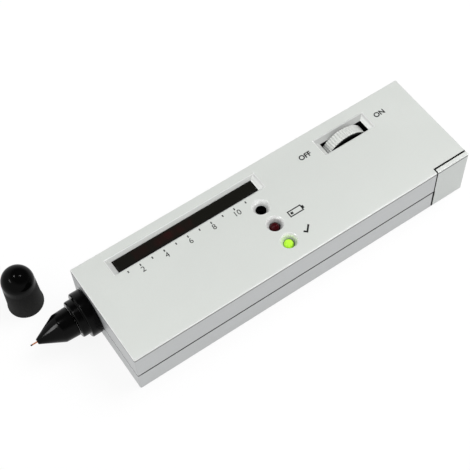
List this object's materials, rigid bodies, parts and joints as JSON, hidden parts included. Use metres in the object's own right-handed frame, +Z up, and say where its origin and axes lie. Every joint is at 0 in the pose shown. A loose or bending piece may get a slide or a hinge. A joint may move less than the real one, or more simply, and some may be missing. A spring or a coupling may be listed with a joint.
{
  "type": "diamond tester",
  "caption": "Pocket diamond tester: flat case with a sprung copper probe, bar display, signal lamps, thumbwheel switch, sliding battery cover and a loose probe cap.",
  "frame": {"origin": "centre of the flat underside of the case, with the battery cover shut", "axes": "+X from the probe end to the battery end, +Y to the side with the probe, display and thumbwheel, +Z up out of the top face"},
  "size_m": [0.1614, 0.0577, 0.0223],
  "materials": {
    "silver_paint": "satin silver-grey paint on moulded plastic",
    "silver_wheel": "silver plastic",
    "black_plastic": "glossy black",
    "cap_vinyl": "soft vinyl, glossy dome, duller sides",
    "smoked_window": "dark smoked acrylic",
    "red_lens": "tinted clear epoxy",
    "green_lens": "tinted clear epoxy, lit",
    "copper": "bare copper",
    "brass": "turned",
    "steel": "zinc plated",
    "board_green": "solder resist on glass epoxy",
    "battery_jacket": "plain dark jacket",
    "red_lead": "insulated wire",
    "black_lead": "insulated wire"
  },
  "bodies": {
    "case": {"top_shell": "silver_paint", "bottom_shell": "silver_paint", "display_window": "smoked_window", "probe_collar": "black_plastic", "probe_nose": "black_plastic", "probe_rear_plug": "black_plastic", "tip_spring": "steel", "probe_lead_1": "red_lead", "probe_lead_2": "black_lead", "switch_potentiometer": "steel", "switch_lead_1": "red_lead", "switch_lead_2": "black_lead", "battery_snap": "black_plastic", "battery_lead_red": "red_lead", "battery_lead_black": "black_lead", "circuit_board": "board_green", "bar_led_01": "red_lens", "bar_led_02": "red_lens", "bar_led_03": "red_lens", "bar_led_04": "red_lens", "bar_led_05": "red_lens", "bar_led_06": "red_lens", "bar_led_07": "red_lens", "bar_led_08": "red_lens", "bar_led_09": "red_lens", "bar_led_10": "red_lens", "bar_led_11": "red_lens", "bar_led_12": "red_lens", "ready_led": "green_lens", "low_battery_led": "red_lens", "buzzer": "black_plastic", "driver_chip": "black_plastic", "amplifier_chip": "black_plastic", "capacitor_1": "battery_jacket", "capacitor_2": "battery_jacket", "trimmer": "black_plastic", "case_screw_1": "steel", "case_screw_2": "steel", "case_screw_3": "steel", "case_screw_4": "steel"},
    "switch_wheel": {"thumbwheel": "silver_wheel", "wheel_shaft": "steel", "wheel_screw": "steel"},
    "sprung_tip": {"probe_tip": "copper", "tip_plunger": "brass"},
    "end_cover": {"battery_cover": "silver_paint"},
    "power_block": {"battery": "battery_jacket", "battery_positive_stud": "steel", "battery_negative_stud": "steel"},
    "loose_cap": {"probe_cap": "cap_vinyl"}
  },
  "joints": [
    {"name": "wheel_turn", "type": "hinge", "parent": "case", "child": "switch_wheel", "pos_m": [0.0388, 0.0116, 0.0128], "axis": [0, 1, 0], "range_deg": [-60, 240]},
    {"name": "tip_press", "type": "slide", "parent": "case", "child": "sprung_tip", "axis": [1, 0, 0], "range_m": [0, 0.0012], "stiffness_N_per_m": 200, "springref_m": -0.0015, "deforming": ["tip_spring"]},
    {"name": "cover_slide", "type": "slide", "parent": "case", "child": "end_cover", "axis": [1, 0, 0], "range_m": [0, 0.055]},
    {"name": "battery_slide", "type": "slide", "parent": "case", "child": "power_block", "axis": [1, 0, 0], "range_m": [0, 0.052]},
    {"name": "cap_lift", "type": "slide", "parent": "case", "child": "loose_cap", "axis": [0, 0, 1], "range_m": [0, 0.04]}
  ],
  "couplings": [
    {"joint": "battery_slide", "follows": "cover_slide", "ratio": 0.9}
  ]
}
